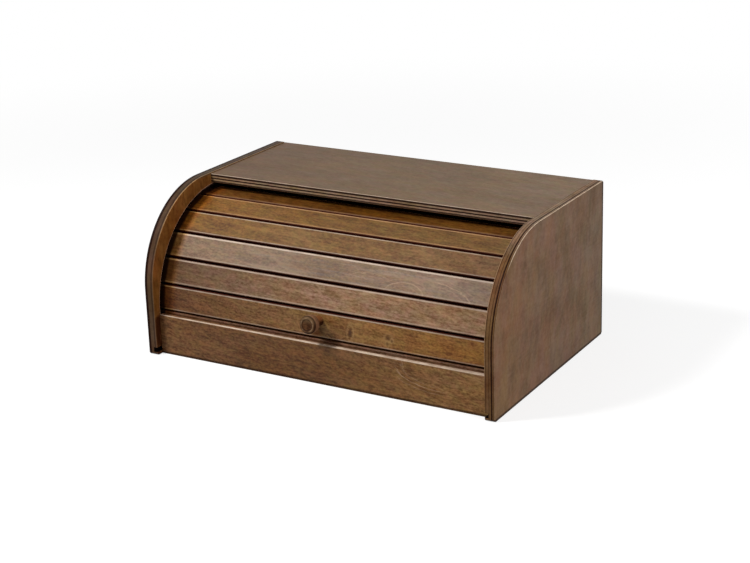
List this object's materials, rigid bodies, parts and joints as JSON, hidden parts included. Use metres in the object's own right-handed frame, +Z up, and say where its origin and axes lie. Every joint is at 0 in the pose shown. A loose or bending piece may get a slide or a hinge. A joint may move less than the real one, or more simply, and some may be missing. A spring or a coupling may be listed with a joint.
{
  "type": "roll-top bread box",
  "caption": "Wooden roll-top bread box: quarter-round sides, flat top board, low front rail and a tambour shutter of flat slats with a turned knob.",
  "frame": {"origin": "on the table, under the middle of the whole box", "axes": "+X along the box's width to the right, +Y from the front to the back, +Z up"},
  "size_m": [0.39, 0.254, 0.164],
  "materials": {
    "case_wood": "walnut stain under satin lacquer",
    "slat_wood": "walnut stain under satin lacquer",
    "knob_wood": "turned, stained and lacquered",
    "panel_wood": "thin plywood, light stain",
    "dowel_wood": "plain beech",
    "canvas": "woven cotton canvas",
    "steel": "zinc plated"
  },
  "bodies": {
    "case": {"side_left": "case_wood", "side_right": "case_wood", "top_board": "case_wood", "front_rail": "case_wood", "bottom_panel": "panel_wood", "back_panel": "panel_wood", "top_dowels_left": "dowel_wood", "top_dowels_right": "dowel_wood", "rail_dowel_left": "dowel_wood", "rail_dowel_right": "dowel_wood", "back_staples": "steel"},
    "shutter": {"slat_1": "slat_wood", "slat_2": "slat_wood", "slat_3": "slat_wood", "slat_4": "slat_wood", "slat_5": "slat_wood", "slat_6": "slat_wood", "slat_7": "slat_wood", "canvas_backing": "canvas", "knob": "knob_wood", "knob_screw": "steel"}
  },
  "joints": [
    {"name": "shutter_roll", "type": "hinge", "parent": "case", "child": "shutter", "pos_m": [0, -0.00517, 0.0455], "axis": [-1, 0, 0], "range_deg": [0, 72]}
  ]
}
